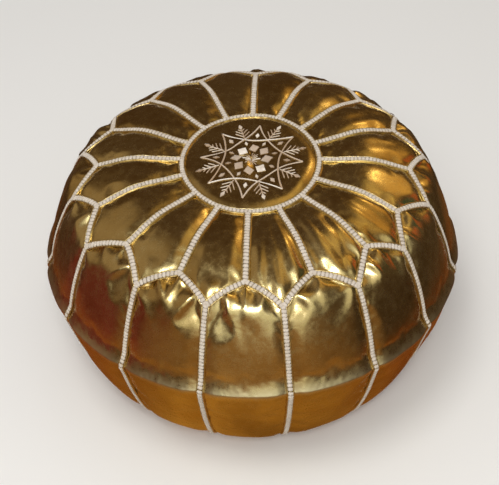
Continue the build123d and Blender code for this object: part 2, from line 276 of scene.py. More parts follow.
def cover_start():
    """The cover before the simulation: seams sunk a little, crease standing out, gathers drawn up."""
    sink = -3.6 * MM * np.exp(-((SEAM_D / (11 * MM)) ** 2))
    point, normal = surface(PHI, S, crease_lift(PHI, S) + sink)
    seed = soft_noise(point, 26)
    free = np.clip(SEAM_D / (10 * MM), 0, 1)
    calm = np.where(np.arange(S.shape[0])[:, None] > EDGE_ROW, 0.9, 0.5) * MM
    return point + normal * (seed * free * calm + gathers(point) * (S < CREASE_S))[..., None]


def mesh_object(name, verts, faces, smooth=True):
    mesh = bpy.data.meshes.new(name)
    mesh.from_pydata([tuple(v) for v in verts], [], faces)
    mesh.validate()
    mesh.update()
    if smooth:
        mesh.polygons.foreach_set("use_smooth", np.ones(len(mesh.polygons), bool))
    obj = bpy.data.objects.new(name, mesh)
    bpy.context.scene.collection.objects.link(obj)
    return obj


def loop_faces(rows, cols, closed=True):
    """Quads of a grid whose rows run round the body; outward side first."""
    faces = []
    for j in range(rows - 1):
        for i in range(cols if closed else cols - 1):
            k = (i + 1) % cols
            faces.append((j * cols + i, (j + 1) * cols + i, (j + 1) * cols + k, j * cols + k))
    return faces


def relax_cover(start):
    """Cloth simulation of the cover. Seams, crease and both ends are pinned; leather near the chevrons has
    length to spare, so it gathers into puckers; pressure from the stuffing fills the rest out."""
    rows, cols = S.shape
    obj = mesh_object("cover_cloth", start.reshape(-1, 3), loop_faces(rows, cols))
    row = np.arange(rows)[:, None]
    col = COL_IN_SECTOR[None, :]
    radial = (col == 0) & (row <= EDGE_ROW)
    side = (col == HALF_COLS) & (row >= EDGE_ROW)
    pinned = radial | side | (row == 0) | (row == EDGE_ROW) | (row == CREASE_ROW) | (row == LAST_ROW)
    pinned = np.broadcast_to(pinned, S.shape).ravel()
    spare_side = np.exp(-CHEVRON_D / (20 * MM)) * (row > EDGE_ROW)
    spare_top = 0.25 * np.exp(-CHEVRON_D / (30 * MM)) * (row < EDGE_ROW)
    patchy = 0.75 + 0.5 * soft_noise(start, 14).ravel()
    spare = np.clip((0.12 + spare_side + spare_top).ravel() * patchy, 0, 1)
    held = np.maximum(pinned, 0.6 * np.exp(-np.abs(S - crease_s(PHI)).ravel() / (14 * MM)))
    pin_group = obj.vertex_groups.new(name="pin")
    for index in np.flatnonzero(held > 0.02):
        pin_group.add([int(index)], float(held[index]), "REPLACE")
    spare_group = obj.vertex_groups.new(name="spare")
    for index, weight in enumerate(spare):
        spare_group.add([index], float(1 - weight), "REPLACE")
    cloth = obj.modifiers.new("cloth", "CLOTH")
    settings = cloth.settings
    settings.quality = 6
    settings.mass = 0.4
    settings.air_damping = 4
    settings.tension_stiffness = settings.compression_stiffness = 60
    settings.shear_stiffness = 25
    settings.bending_stiffness = 5
    settings.tension_damping = settings.compression_damping = 20
    settings.bending_damping = 1.5
    settings.vertex_group_mass = "pin"
    settings.pin_stiffness = 5
    settings.shrink_min = -0.05
    settings.shrink_max = 0.0
    settings.vertex_group_shrink = "spare"
    settings.use_pressure = True
    settings.uniform_pressure_force = 9
    settings.effector_weights.gravity = 0
    cloth.collision_settings.use_self_collision = False
    cloth.point_cache.frame_start, cloth.point_cache.frame_end = 1, CLOTH_FRAMES
    for frame_number in range(1, CLOTH_FRAMES + 1):
        bpy.context.scene.frame_set(frame_number)
    evaluated = obj.evaluated_get(bpy.context.evaluated_depsgraph_get())
    settled = np.array([v.co for v in evaluated.data.vertices]).reshape(start.shape)
    bpy.context.scene.frame_set(1)
    bpy.data.objects.remove(obj)
    return settled


# ---------------------------------------------------------------- materials
class Nodes:
    """Small helper that builds the node tree of a new material, or of the world given."""

    def __init__(self, owner):
        if isinstance(owner, str):
            owner = bpy.data.materials.new(owner)
        owner.use_nodes = True
        self.owner = owner
        self.tree = owner.node_tree
        kind = "Generated" if isinstance(owner, bpy.types.World) else "Object"
        self.coords = self.add("ShaderNodeTexCoord").outputs[kind]

    def add(self, kind, **values):
        node = self.tree.nodes.new(kind)
        for key, value in values.items():
            setattr(node, key, value)
        return node

    def put(self, socket, value):
        if isinstance(value, bpy.types.NodeSocket):
            self.tree.links.new(value, socket)
        else:
            socket.default_value = value

    def noise(self, scale, detail=3.0, rough=0.55, distortion=0.0, output="Fac"):
        node = self.add("ShaderNodeTexNoise")
        self.put(node.inputs["Vector"], self.coords)
        node.inputs["Scale"].default_value = scale
        node.inputs["Detail"].default_value = detail
        node.inputs["Roughness"].default_value = rough
        node.inputs["Distortion"].default_value = distortion
        return node.outputs[output]

    def cells(self, scale):
        node = self.add("ShaderNodeTexVoronoi", feature="SMOOTH_F1")
        self.put(node.inputs["Vector"], self.coords)
        node.inputs["Scale"].default_value = scale
        return node.outputs["Distance"]

    def math(self, operation, a, b=0.0):
        node = self.add("ShaderNodeMath", operation=operation)
        self.put(node.inputs[0], a)
        self.put(node.inputs[1], b)
        return node.outputs[0]

    def vector(self, operation, a, b=None, output="Vector"):
        node = self.add("ShaderNodeVectorMath", operation=operation)
        self.put(node.inputs[0], a)
        if b is not None:
            self.put(node.inputs["Scale" if operation == "SCALE" else 1], b)
        return node.outputs[output]

    def remap(self, value, low, high, to_low=0.0, to_high=1.0, kind="LINEAR"):
        node = self.add("ShaderNodeMapRange", interpolation_type=kind)
        for key, v in zip(("Value", "From Min", "From Max", "To Min", "To Max"),
                          (value, low, high, to_low, to_high)):
            self.put(node.inputs[key], v)
        return node.outputs["Result"]

    def mix(self, factor, a, b, blend="MIX"):
        node = self.add("ShaderNodeMix", data_type="RGBA", blend_type=blend)
        self.put(node.inputs["Factor"], factor)
        self.put(node.inputs[6], a)
        self.put(node.inputs[7], b)
        return node.outputs[2]

    def attribute(self, name):
        return self.add("ShaderNodeAttribute", attribute_name=name).outputs["Fac"]

    def bump(self, height, distance, strength=1.0, normal=None):
        node = self.add("ShaderNodeBump")
        self.put(node.inputs["Height"], height)
        node.inputs["Distance"].default_value = distance
        node.inputs["Strength"].default_value = strength
        if normal:
            self.put(node.inputs["Normal"], normal)
        return node.outputs["Normal"]

    def blend(self, factor, a, b):
        node = self.add("ShaderNodeMixShader")
        self.put(node.inputs[0], factor)
        self.put(node.inputs[1], a.outputs[0])
        self.put(node.inputs[2], b.outputs[0])
        return node

    def glow(self, kind, colour, strength=1.0):
        """An emission, background or diffuse shader of one colour."""
        node = self.add(kind)
        self.put(node.inputs["Color"], colour)
        if "Strength" in node.inputs:
            node.inputs["Strength"].default_value = strength
        return node

    def set(self, **values):
        for key, value in values.items():
            self.put(self.tree.nodes["Principled BSDF"].inputs[key.replace("_", " ")], value)
        return self.owner


def foil_leather(name, tint, dark, gloss, dent):
    """Gold-foiled goat leather: fine pebble grain, soft dents, foil worn thin in patches, and a painted pale
    highlight just above the crease, where the foil is also rougher."""
    n = Nodes(name)
    tone = n.attribute("tone")
    cloud = n.noise(22, 3, 0.6, 0.4)
    patch = n.remap(n.math("ADD", cloud, n.math("MULTIPLY", tone, 0.35)), 0.35, 0.85)
    colour = n.mix(patch, dark, tint)
    worn = n.remap(n.noise(320, 5, 0.7, 0.6), 0.46, 0.72, 0.0, 0.5)
    colour = n.mix(worn, colour, dark)
    # Painted highlight: the foil is mixed towards pale gold in the band just above the crease.
    crease_highlight = n.attribute("crease_highlight")
    colour = n.mix(crease_highlight, colour, (0.95, 0.92, 0.74, 1))
    grain = n.cells(1500)
    crease = n.noise(160, 4, 0.65, 0.8)
    dents = n.noise(38, 2, 0.5, 0.5)
    normal = n.bump(dents, 1.6 * MM, dent)
    normal = n.bump(crease, 0.30 * MM, 0.30, normal)
    normal = n.bump(grain, 0.10 * MM, 0.30, normal)
    rough = n.remap(n.noise(110, 5, 0.7), 0.3, 0.7, gloss - 0.05, gloss + 0.14)
    rough = n.math("ADD", rough, n.math("MULTIPLY", crease_highlight, 0.16))
    return n.set(Base_Color=colour, Metallic=1.0, Roughness=rough, Normal=normal, Coat_Weight=0.25,
                 Coat_Roughness=0.2, Coat_IOR=1.5)


def thread_material(name, light, shade, sheen=0.3):
    """Twisted thread: fine slanted ply and a little random dirt; the tone attribute mixes in the shade
    colour, for painted shade and painted sheen.
    """
    n = Nodes(name)
    tone = n.attribute("tone")
    fibre = n.noise(2600, 2, 0.6)
    dirt = n.remap(n.noise(90, 3, 0.6), 0.35, 0.75)
    colour = n.mix(n.math("MULTIPLY", dirt, 0.45), light, shade)
    # Painted shade and painted sheen, carried in the tone attribute.
    colour = n.mix(tone, colour, shade)
    normal = n.bump(fibre, 0.25 * MM, 0.6)
    return n.set(Base_Color=colour, Roughness=0.62, Normal=normal, Sheen_Weight=sheen, Sheen_Roughness=0.4)


def plain_leather(name, light, dark):
    """Unfoiled suede-like leather of the base."""
    n = Nodes(name)
    colour = n.mix(n.remap(n.noise(35, 4, 0.6), 0.3, 0.7), dark, light)
    normal = n.bump(n.noise(60, 3, 0.6), 1.2 * MM, 0.5)
    normal = n.bump(n.cells(900), 0.2 * MM, 0.5, normal)
    return n.set(Base_Color=colour, Roughness=0.66, Normal=normal)


def woven(name, light, dark, pitch):
    """Plain weave of two crossing yarns."""
    n = Nodes(name)
    split = n.add("ShaderNodeSeparateXYZ")
    n.put(split.inputs[0], n.coords)
    waves = [n.math("SINE", n.math("MULTIPLY", axis, math.pi / pitch)) for axis in split.outputs[:2]]
    weave = n.math("MULTIPLY", waves[0], waves[1])
    colour = n.mix(n.remap(weave, -1, 1), dark, light)
    colour = n.mix(n.remap(n.noise(40, 3), 0.4, 0.8, 0, 0.3), colour, dark)
    return n.set(Base_Color=colour, Roughness=0.85, Normal=n.bump(weave, 0.3 * MM, 0.7), Sheen_Weight=0.2)


def brushed_brass(name):
    n = Nodes(name)
    scratch = n.noise(700, 4, 0.7, 0.3)
    colour = n.mix(n.remap(n.noise(120, 3), 0.4, 0.7), (0.62, 0.43, 0.17, 1), (0.42, 0.27, 0.10, 1))
    return n.set(Base_Color=colour, Metallic=1.0, Roughness=n.remap(scratch, 0.3, 0.7, 0.24, 0.42),
                 Normal=n.bump(scratch, 0.05 * MM, 0.4))


PETAL_GOLD = foil_leather("petal_foil_leather", (0.85, 0.72, 0.40, 1), (0.66, 0.50, 0.22, 1), 0.19, 0.20)
SIDE_GOLD = foil_leather("side_foil_leather", (0.86, 0.74, 0.43, 1), (0.68, 0.52, 0.24, 1), 0.21, 0.38)
LIP_GOLD = foil_leather("lip_foil_leather", (0.88, 0.74, 0.40, 1), (0.62, 0.46, 0.20, 1), 0.34, 0.10)
WHITE_THREAD = thread_material("seam_thread", (0.70, 0.63, 0.55, 1), (0.36, 0.28, 0.19, 1))
SILK_THREAD = thread_material("embroidery_thread", (0.86, 0.80, 0.72, 1), (0.38, 0.235, 0.12, 1), 0.4)
BASE_LEATHER = plain_leather("base_leather", (0.30, 0.175, 0.075, 1), (0.17, 0.095, 0.040, 1))
TAPE_CLOTH = woven("zip_tape_cloth", (0.10, 0.065, 0.035, 1), (0.045, 0.028, 0.015, 1), 0.5 * MM)
COTTON = woven("liner_cotton", (0.70, 0.66, 0.56, 1), (0.45, 0.42, 0.34, 1), 0.6 * MM)
SCRAPS = woven("stuffing_scraps", (0.62, 0.60, 0.56, 1), (0.30, 0.29, 0.30, 1), 1.5 * MM)
BRASS = brushed_brass("zip_brass")


# ---------------------------------------------------------------- pieces
def set_values(obj, name, value):
    """A number at every vertex, for the materials."""
    layer = obj.data.attributes.new(name, "FLOAT", "POINT")
    values = np.broadcast_to(np.asarray(value, np.float32), (len(obj.data.vertices),))
    layer.data.foreach_set("value", np.ascontiguousarray(values))


def finish_piece(obj, material, replaces=(), tone=0.0):
    obj.data.materials.append(material)
    set_values(obj, "tone", tone)
    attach(obj, "cover")
    if replaces:
        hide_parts(*replaces)
    return obj


def thicken(obj, smooth=True):
    """Leather thickness, inward from the outer face."""
    if smooth:
        subdivide = obj.modifiers.new("smooth", "SUBSURF")
        subdivide.levels = subdivide.render_levels = 1
        subdivide.boundary_smooth = "PRESERVE_CORNERS"
    solid = obj.modifiers.new("leather", "SOLIDIFY")
    solid.thickness, solid.offset = LEATHER, -1


def column_span(points, first, last, row0, row1):
    """Part of the grid between two columns and two rows, both included."""
    cols = [c % COLS for c in range(first, last + 1)]
    return points[row0:row1 + 1][:, cols]


def leather_patch(name, points, material, node, tone, crease_row=None):
    rows, cols = points.shape[:2]
    obj = mesh_object(name, points.reshape(-1, 3), loop_faces(rows, cols, closed=False))
    if crease_row is not None:
        crease = obj.data.attributes.new("crease_edge", "FLOAT", "EDGE")
        low, high = crease_row * cols, (crease_row + 1) * cols
        for edge in obj.data.edges:
            a, b = edge.vertices
            crease.data[edge.index].value = 0.85 if low <= a < high and low <= b < high else 0.0
        # Painted highlight mask: 0.6 at the crease row and above it, fading over about five rows, 0 below.
        above = np.arange(rows) - crease_row
        crease_highlight = np.where(above > 0, 0.0, np.exp(-((above / 5) ** 2)))
        set_values(obj, "crease_highlight", np.repeat(0.6 * crease_highlight, cols))
    thicken(obj)
    return finish_piece(obj, material, [node], tone)


def panel_tone(index, seed):
    return 0.5 + 0.5 * math.sin(index * 2.4 + seed)


def build_cover(cover):
    for k in range(SECTORS):
        first = k * 2 * HALF_COLS
        petal = column_span(cover, first, first + 2 * HALF_COLS, 0, EDGE_ROW)
        leather_patch(f"petal_{k + 1:02d}_leather", petal, PETAL_GOLD, f"petal_{k + 1:02d}",
                      panel_tone(k, 0.3))
        panel = column_span(cover, first - HALF_COLS, first + HALF_COLS, EDGE_ROW, LAST_ROW)
        leather_patch(f"side_panel_{k + 1:02d}_leather", panel, SIDE_GOLD,
                      f"side_panel_{k + 1:02d}", panel_tone(k, 1.1), CREASE_ROW - EDGE_ROW)


def polar_grid(shares, cols, outer, height):
    """Disc of rings around a middle point, out to outer(angle); height(x, y) gives each point's z."""
    phi = FRONT + np.arange(cols) * 2 * math.pi / cols
    verts = [(0.0, 0.0, float(height(0.0, 0.0)))]
    for share in shares:
        for angle, a in zip(phi, turn_uneven(phi)):
            radius = share * outer(angle)
            x, y = radius * math.cos(a), radius * math.sin(a)
            verts.append((x, y, float(height(x, y))))
    faces = [(0, 1 + i, 1 + (i + 1) % cols) for i in range(cols)]
    for j in range(len(shares) - 1):
        for i in range(cols):
            k = (i + 1) % cols
            low = 1 + j * cols
            faces.append((low + i, low + cols + i, low + cols + k, low + k))
    return verts, faces


def medallion_height(x, y):
    """Height of the medallion: the crown's dome with a few shallow dents, sunk at its seam."""
    radius = np.hypot(x, y)
    phi = np.arctan2(y, x)
    edge = ring_radius(phi)
    dome = surface(phi, top_s(np.minimum(radius, edge)))[0][..., 2]
    dents = 0.5 * MM * (np.sin(55 * x + 1.0) * np.sin(48 * y + 0.4) + 0.6 * np.sin(90 * (x + y)))
    fade = np.clip((edge - radius) / (15 * MM), 0, 1)
    sink = -3.5 * MM * np.exp(-(((edge - radius) / (7 * MM)) ** 2))
    return dome + dents * fade + sink + 0.8 * MM * fade


def build_medallion():
    verts, faces = polar_grid(np.linspace(0.04, 1, 24), 96, ring_radius, medallion_height)
    obj = mesh_object("medallion_leather", verts, faces)
    thicken(obj)
    finish_piece(obj, PETAL_GOLD, ["medallion"], 0.35)


# ---------------------------------------------------------------- seams
def unit(vectors):
    return vectors / np.linalg.norm(vectors, axis=-1)[:, None]


def distance_along(point):
    return np.concatenate([[0], np.cumsum(np.linalg.norm(np.diff(point, axis=0), axis=-1))])


def seam_frame(phi, s):
    """Points, normals, tangents and sideways directions along a seam, from its angles and arc lengths."""
    point, normal = surface(phi, s, crease_lift(phi, s) + SEAM_SINK)
    tangent = unit(np.gradient(point, axis=0))
    side = unit(np.cross(normal, tangent))
    return point, np.cross(tangent, side), tangent, side


def even_path(phi, s, pitch):
    """Resample a seam so that its points are `pitch` apart."""
    length = distance_along(surface(phi, s)[0])
    count = max(2, int(round(length[-1] / pitch)))
    at = (np.arange(count) + 0.5) * length[-1] / count
    return np.interp(at, length, phi), np.interp(at, length, s)


def seam_paths():
    """Angle and arc length along each kind of seam, clear of the stitching it meets."""
    radial, chevron, side = [], [], []
    gap = SEAM_W * 0.5
    for k in range(SECTORS):
        a = FRONT + k * STEP
        peak = float(edge_s(a))
        s = np.linspace(float(ring_s(a)) + RING_SEAM_W * 0.35, peak + gap * 0.5, 80)
        radial.append((np.full(80, a), s))
        tip_angle = a + STEP / 2
        tip = float(edge_s(tip_angle))
        for turn in (1, -1):
            angles = a + turn * np.linspace(0.4 * MM / PEAK_R, STEP / 2 - 0.3 * MM / TIP_R, 60)
            chevron.append((angles, edge_s(angles)))
        s = np.linspace(tip - gap * 0.5, BASE_S - RING_SEAM_W * 0.4, 260)
        side.append((np.full(260, tip_angle), s))
    around = FRONT + np.linspace(0, 2 * math.pi, 400)
    ring = [(around, ring_s(around))]
    base = [(around, np.full(400, BASE_S))]
    return {"radial_seam": radial, "chevron_seam": chevron, "side_seam": side, "medallion_ring": ring,
            "base_ring": base}


def sweep(point, normal, side, section, closed=False):
    """Vertices and faces of a section of (across, up) pairs carried along a path; open ends are capped."""
    count, size = len(point), len(section)
    across, up = section[:, 0], section[:, 1]
    verts = point[:, None] + side[:, None] * across[None, :, None] + normal[:, None] * up[None, :, None]
    faces = []
    for j in range(count if closed else count - 1):
        k = (j + 1) % count
        for i in range(size):
            m = (i + 1) % size
            faces.append((j * size + i, j * size + m, k * size + m, k * size + i))
    if not closed:
        faces.append(tuple(range(size))[::-1])
        faces.append(tuple((count - 1) * size + i for i in range(size)))
    return verts.reshape(-1, 3), faces


def ellipse(width, height, count):
    turn = np.linspace(0, 2 * math.pi, count, endpoint=False)
    return np.stack([width / 2 * np.cos(turn), height / 2 * np.sin(turn)], -1)


def joined(parts):
    """One vertex and face list from many."""
    verts, faces, start = [], [], 0
    for v, f in parts:
        verts.append(v)
        faces.extend(tuple(i + start for i in face) for face in f)
        start += len(v)
    return np.concatenate(verts), faces


def bead(point, normal, side, tangent, width, pitch, wobble):
    """One loop of the ladder stitch: a short fat thread arched over the seam, its ends tucked in."""
    stations = np.array([-1.0, -0.86, -0.5, 0.0, 0.5, 0.86, 1.0])
    slant = 0.16 + 0.10 * wobble
    along = side * math.cos(slant) + tangent * math.sin(slant)
    forward = tangent * math.cos(slant) - side * math.sin(slant)
    height = (0.35 + 1.65 * np.sqrt(1 - 0.92 * stations ** 2)) * MM
    reach = stations * width / 2 * (1 + 0.05 * wobble)
    fat = pitch * 0.49 * np.array([0.62, 0.92, 1.0, 1.0, 1.0, 0.92, 0.62])
    tall = 0.95 * MM * np.array([0.6, 0.9, 1.0, 1.0, 1.0, 0.9, 0.6])
    ring = np.linspace(0, 2 * math.pi, BEAD_SIDES, endpoint=False)
    centre = point + along * reach[:, None] + normal * height[:, None]
    verts = (centre[:, None] + forward * (fat[:, None] * np.cos(ring))[..., None]
             + normal * (tall[:, None] * np.sin(ring))[..., None])
    faces = loop_faces(len(stations), BEAD_SIDES)
    last = (len(stations) - 1) * BEAD_SIDES
    faces.append(tuple(range(BEAD_SIDES)))
    faces.append(tuple(last + i for i in reversed(range(BEAD_SIDES))))
    return verts.reshape(-1, 3), faces


# Painted shade in the gaps between the loops of a ladder stitch, for every vertex of a loop.
BEAD_SHADE = np.tile(0.30 * np.abs(np.cos(np.linspace(0, 2 * math.pi, BEAD_SIDES, endpoint=False))) ** 3, 7)


def stitching(name, paths, width, node):
    """Ladder stitching over a set of seams, with painted shade where it faces down."""
    parts, tones = [], []
    for phi, s in paths:
        phi, s = even_path(phi, s, BEAD_PITCH)
        point, normal, tangent, side = seam_frame(phi, s)
        for i in range(len(phi)):
            wobble = math.sin(i * 1.7 + phi[0] * 9) * math.sin(i * 0.61 + 2)
            parts.append(bead(point[i], normal[i], side[i], tangent[i], width, BEAD_PITCH, wobble))
            # Painted shade: loops that face down are darker, and the painted shade in their gaps is deeper.
            low = min(max(-5 * normal[i][2], 0.0), 1.0)
            tones.append(0.06 + 0.06 * math.sin(i * 2.9 + phi[0] * 5) + 0.22 * low + BEAD_SHADE * (1 + low))
    verts, faces = joined(parts)
    obj = mesh_object(name, verts, faces)
    return finish_piece(obj, WHITE_THREAD, [node], np.clip(np.concatenate(tones), 0, 1))


def seam_leather(name, paths, width, closed=False):
    """Turned leather edges at a seam: the ridge under the stitches and a thin lip on each side."""
    parts = []
    for phi, s in paths:
        if closed:
            point, normal, _, side = seam_frame(phi, s)
            point, normal, side = point[:-1], normal[:-1], side[:-1]
        else:
            point, normal, _, side = seam_frame(*even_path(phi, s, 3 * MM))
        parts.append(sweep(point, normal, side, ellipse(width * 0.86, 3.0 * MM, 10), closed))
        ripple = 0.18 * MM * np.sin(np.arange(len(point)) * 0.7 + float(phi[0]) * 7)
        for sign in (-1, 1):
            offset = sign * (width / 2 + 0.75 * MM)
            lip = point + side * (offset + ripple * sign)[:, None]
            lip = lip + normal * (0.7 * MM + ripple * 0.6)[:, None]
            parts.append(sweep(lip, normal, side, ellipse(1.9 * MM, 2.3 * MM, 8), closed))
    verts, faces = joined(parts)
    obj = mesh_object(name, verts, faces)
    return finish_piece(obj, LIP_GOLD, (), 0.7)


def build_seams():
    kinds = {
        "radial_seam": (SEAM_W, "petal_leather"),
        "chevron_seam": (SEAM_W, "petal_leather"),
        "side_seam": (SEAM_W * 0.92, "side_leather"),
        "medallion_ring": (RING_SEAM_W, "medallion_leather"),
        "base_ring": (RING_SEAM_W * 0.8, "side_leather"),
    }
    for kind, paths in seam_paths().items():
        width, slot = kinds[kind]
        stitching(f"{kind}_thread", paths, width, f"{kind}_stitching")
        seam_leather(f"{kind}_leather", paths, width, closed=kind.endswith("ring"))


# ---------------------------------------------------------------- embroidery on the medallion
POINTS = 8
STAR_R, STAR_SAG = 65 * MM, 11.5 * MM
STAR_FRONT = FRONT - math.radians(3)      # the star was drawn slightly turned
POINT_STEP = 2 * math.pi / POINTS


def direction_tone(dx, dy):
    """Silk looks pale where it runs across the light and tan where it runs along it."""
    return 0.85 * abs(math.sin(math.atan2(dy, dx))) ** 1.1


def on_medallion(xy, lift):
    """The design was drawn by eye: a little long, leaning, and off the middle."""
    x, y = np.asarray(xy, float).T
    x, y = x + 0.085 * y + 1.6 * MM, 1.05 * y - 5 * MM
    return np.stack([x, y, medallion_height(x, y) + lift], -1)


def laid_thread(xy, width, height=0.9 * MM, lift=0.2 * MM, ply=2.6 * MM, depth=0.16, taper=0.5):
    """One embroidered line: a flattened cord whose width swells with each small stitch."""
    point = on_medallion(xy, lift)
    normal = np.tile([0.0, 0.0, 1.0], (len(point), 1))
    side = np.cross(normal, unit(np.gradient(point, axis=0)))
    length = distance_along(point)
    swell = 1 - depth + depth * np.abs(np.sin(length * math.pi / ply))
    ends = np.minimum(1, taper + (1 - taper) * np.minimum(length, length[-1] - length) / (1.2 * MM))
    section = ellipse(width, height, 8)
    scale = (swell * ends)[:, None]
    verts = (point[:, None] + side[:, None] * (section[:, 0] * scale)[..., None]
             + normal[:, None] * (section[:, 1] * scale)[..., None])
    _, faces = sweep(point, normal, side, section)
    tone = direction_tone(*(point[-1] - point[0])[:2])
    return verts.reshape(-1, 3), faces, tone


def straight(start, end, step=0.8 * MM):
    start, end = np.asarray(start, float), np.asarray(end, float)
    count = max(4, int(np.linalg.norm(end - start) / step) + 1)
    return start + (end - start) * np.linspace(0, 1, count)[:, None]


def plan(radius, angle):
    """Point of the design in plan."""
    return np.array([radius * math.cos(angle), radius * math.sin(angle)])


def satin(centre, axis_angle, length, width, across=True):
    """Diamond or leaf filled with parallel threads, laid across its long axis or along it."""
    along = np.array([math.cos(axis_angle), math.sin(axis_angle)])
    over = np.array([-along[1], along[0]])
    if not across:
        along, over, length, width = over, along, width, length
    threads = []
    pitch = 0.95 * MM
    count = max(3, int(length / pitch))
    for i in range(count):
        u = (i + 0.5) / count * 2 - 1
        half = width / 2 * (1 - abs(u)) + 0.3 * MM
        middle = centre + along * u * length / 2
        line = straight(middle - over * half, middle + over * half, 0.9 * MM)
        threads.append(laid_thread(line, pitch * 1.12, 1.0 * MM, 0.35 * MM, depth=0.0, taper=0.6))
    return threads


def star_threads():
    """Two squares with bowed sides, passing over and under each other."""
    threads = []
    chord = STAR_R * math.sin(math.pi / 4)
    bow = (chord ** 2 + STAR_SAG ** 2) / (2 * STAR_SAG)
    depth = STAR_R * math.cos(math.pi / 4) - STAR_SAG
    for k in range(POINTS):
        middle = STAR_FRONT + (k + 1) * POINT_STEP
        centre = plan(depth + bow, middle)
        spread = math.asin(chord / bow)
        t = np.linspace(-spread, spread, 110)
        xy = centre - bow * np.stack([np.cos(middle + t), np.sin(middle + t)], -1)
        lift = 0.25 * MM + 0.5 * MM * np.sin(np.pi * t / spread)
        threads.append(laid_thread(xy, 2.3 * MM, 1.2 * MM, lift, ply=3.4 * MM, depth=0.25))
        inner = STAR_FRONT + (k + 0.5) * POINT_STEP
        threads += satin(plan(29.5 * MM, inner), inner, 7.5 * MM, 3.6 * MM)
    return threads


def sprig_threads():
    """A stem with two pairs of side stitches and a filled leaf at its tip, in each valley of the star."""
    threads = []
    for k in range(POINTS):
        a = STAR_FRONT + (k + 0.5) * POINT_STEP
        threads.append(laid_thread(straight(plan(41 * MM, a), plan(62 * MM, a)), 1.6 * MM))
        for radius, length in ((44, 13), (50.5, 11), (57, 6)):
            for turn in (-1, 1):
                root = plan(radius * MM, a)
                tip = root + plan(length * MM, a + turn * math.radians(44))
                threads.append(laid_thread(straight(root, tip), 1.45 * MM))
        threads += satin(plan(65.5 * MM, a), a, 10 * MM, 4.8 * MM)
    return threads


def point_threads():
    """A small filled diamond in each point of the star."""
    threads = []
    for k in range(POINTS):
        a = STAR_FRONT + k * POINT_STEP
        threads += satin(plan(44.5 * MM, a), a, 9 * MM, 4.8 * MM)
    return threads


def centre_threads():
    """The ring of large diamonds in the middle, with painted sheen: two of them pale, the rest tan."""
    threads = []
    for k in range(POINTS):
        a = STAR_FRONT + k * POINT_STEP
        # Painted sheen: tone 0 keeps two diamonds pale, 0.62 shades the rest tan.
        tone = 0.0 if k in (1, 5) else 0.62
        for vert, face, _ in satin(plan(19.3 * MM, a), a + 0.35, 15 * MM, 12.5 * MM, across=k % 2 == 0):
            threads.append((vert, face, tone))
    return threads


def rosette_threads():
    """Fine stitches radiating from the middle, with two bolder ones across it."""
    threads = []
    for k in range(16):
        a = STAR_FRONT + k * STEP
        across = k % 8 == 4
        reach = 11.5 * MM if across else (10 * MM if k % 2 == 0 else 8 * MM)
        width = 1.9 * MM if across else 0.95 * MM
        threads.append(laid_thread(straight(plan(1.0 * MM, a), plan(reach, a)), width, depth=0.05))
    return threads


def embroidery(motif, threads):
    verts, faces = joined([(v, f) for v, f, _ in threads])
    tones = np.concatenate([np.full(len(v), t) for v, _, t in threads])
    obj = mesh_object(f"{motif}_threads", verts, faces)
    return finish_piece(obj, SILK_THREAD, [f"{motif}_embroidery"], tones)


def build_embroidery():
    embroidery("star", star_threads())
    embroidery("sprig", sprig_threads())
    embroidery("point_diamond", point_threads())
    embroidery("centre_diamond", centre_threads())
    embroidery("rosette", rosette_threads())


# ---------------------------------------------------------------- base, zip and inside
TAPE_LOW, TAPE_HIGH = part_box("zip_tape_front")
SLIT_X = TAPE_HIGH.x + 2 * MM
SLIT_Y = 6 * MM
HEM_Z = TAPE_LOW.z - 0.1 * MM


def base_height(x, y):
    """The base lies flat, curls up to its seam, and is drawn up a little beside the slit."""
    radius = np.hypot(x, y)
    curl = np.interp(under_s(np.maximum(radius, FLAT_R + 1e-6)), S_T, Z_T)
    dents = 0.5 * MM * (1 + np.sin(40 * x + 1) * np.sin(34 * y + 2))
    fade = np.clip((BASE_R - radius) / (20 * MM), 0, 1)
    return np.where(radius > FLAT_R, curl, 0.0) + dents * fade


def build_base():
    """Base leather around the zip's slit, with its edges turned in up to the tape."""
    count, steps = 97, 26
    xs = BASE_R * np.sin(np.linspace(-1, 1, count) * math.pi / 2 * 0.985)
    verts, faces = [], []
    for side in (-1, 1):
        start = len(verts)
        for x in xs:
            inside = np.clip((SLIT_X - abs(x)) / (4 * MM), 0, 1)
            near = SLIT_Y * inside
            far = math.sqrt(max(BASE_R ** 2 - x * x, 0))
            verts.append((x, side * near, max(HEM_Z * inside, float(base_height(x, near)))))
            for t in np.linspace(0, 1, steps) ** 0.9:
                y = near + (far - near) * t
                verts.append((x, side * y, float(base_height(x, y))))
        size = steps + 1
        for i in range(count - 1):
            for j in range(size - 1):
                quad = (start + i * size + j, start + i * size + j + 1, start + (i + 1) * size + j + 1,
                        start + (i + 1) * size + j)
                faces.append(quad if side > 0 else quad[::-1])
    obj = mesh_object("base_panel_leather", verts, faces)
    weld = obj.modifiers.new("weld", "WELD")
    weld.merge_threshold = 0.02 * MM
    thicken(obj, smooth=False)
    finish_piece(obj, BASE_LEATHER, ["base_panel"], 0.0)
    stitches = []
    for side in (-1, 1):
        for x in np.arange(-SLIT_X + 4 * MM, SLIT_X - 4 * MM, 4.5 * MM):
            y = side * (SLIT_Y + 3 * MM)
            z = float(base_height(x, y)) + 0.15 * MM
            point = np.array([[x + d, y, z] for d in np.linspace(0, 3.2 * MM, 4)])
            normal = np.tile([0.0, 0.0, -1.0], (4, 1))
            across = np.tile([0.0, 1.0, 0.0], (4, 1))
            stitches.append(sweep(point, normal, across, ellipse(0.7 * MM, 0.5 * MM, 6)))
    verts, faces = joined(stitches)
    finish_piece(mesh_object("slit_topstitch", verts, faces), WHITE_THREAD, (), 0.3)


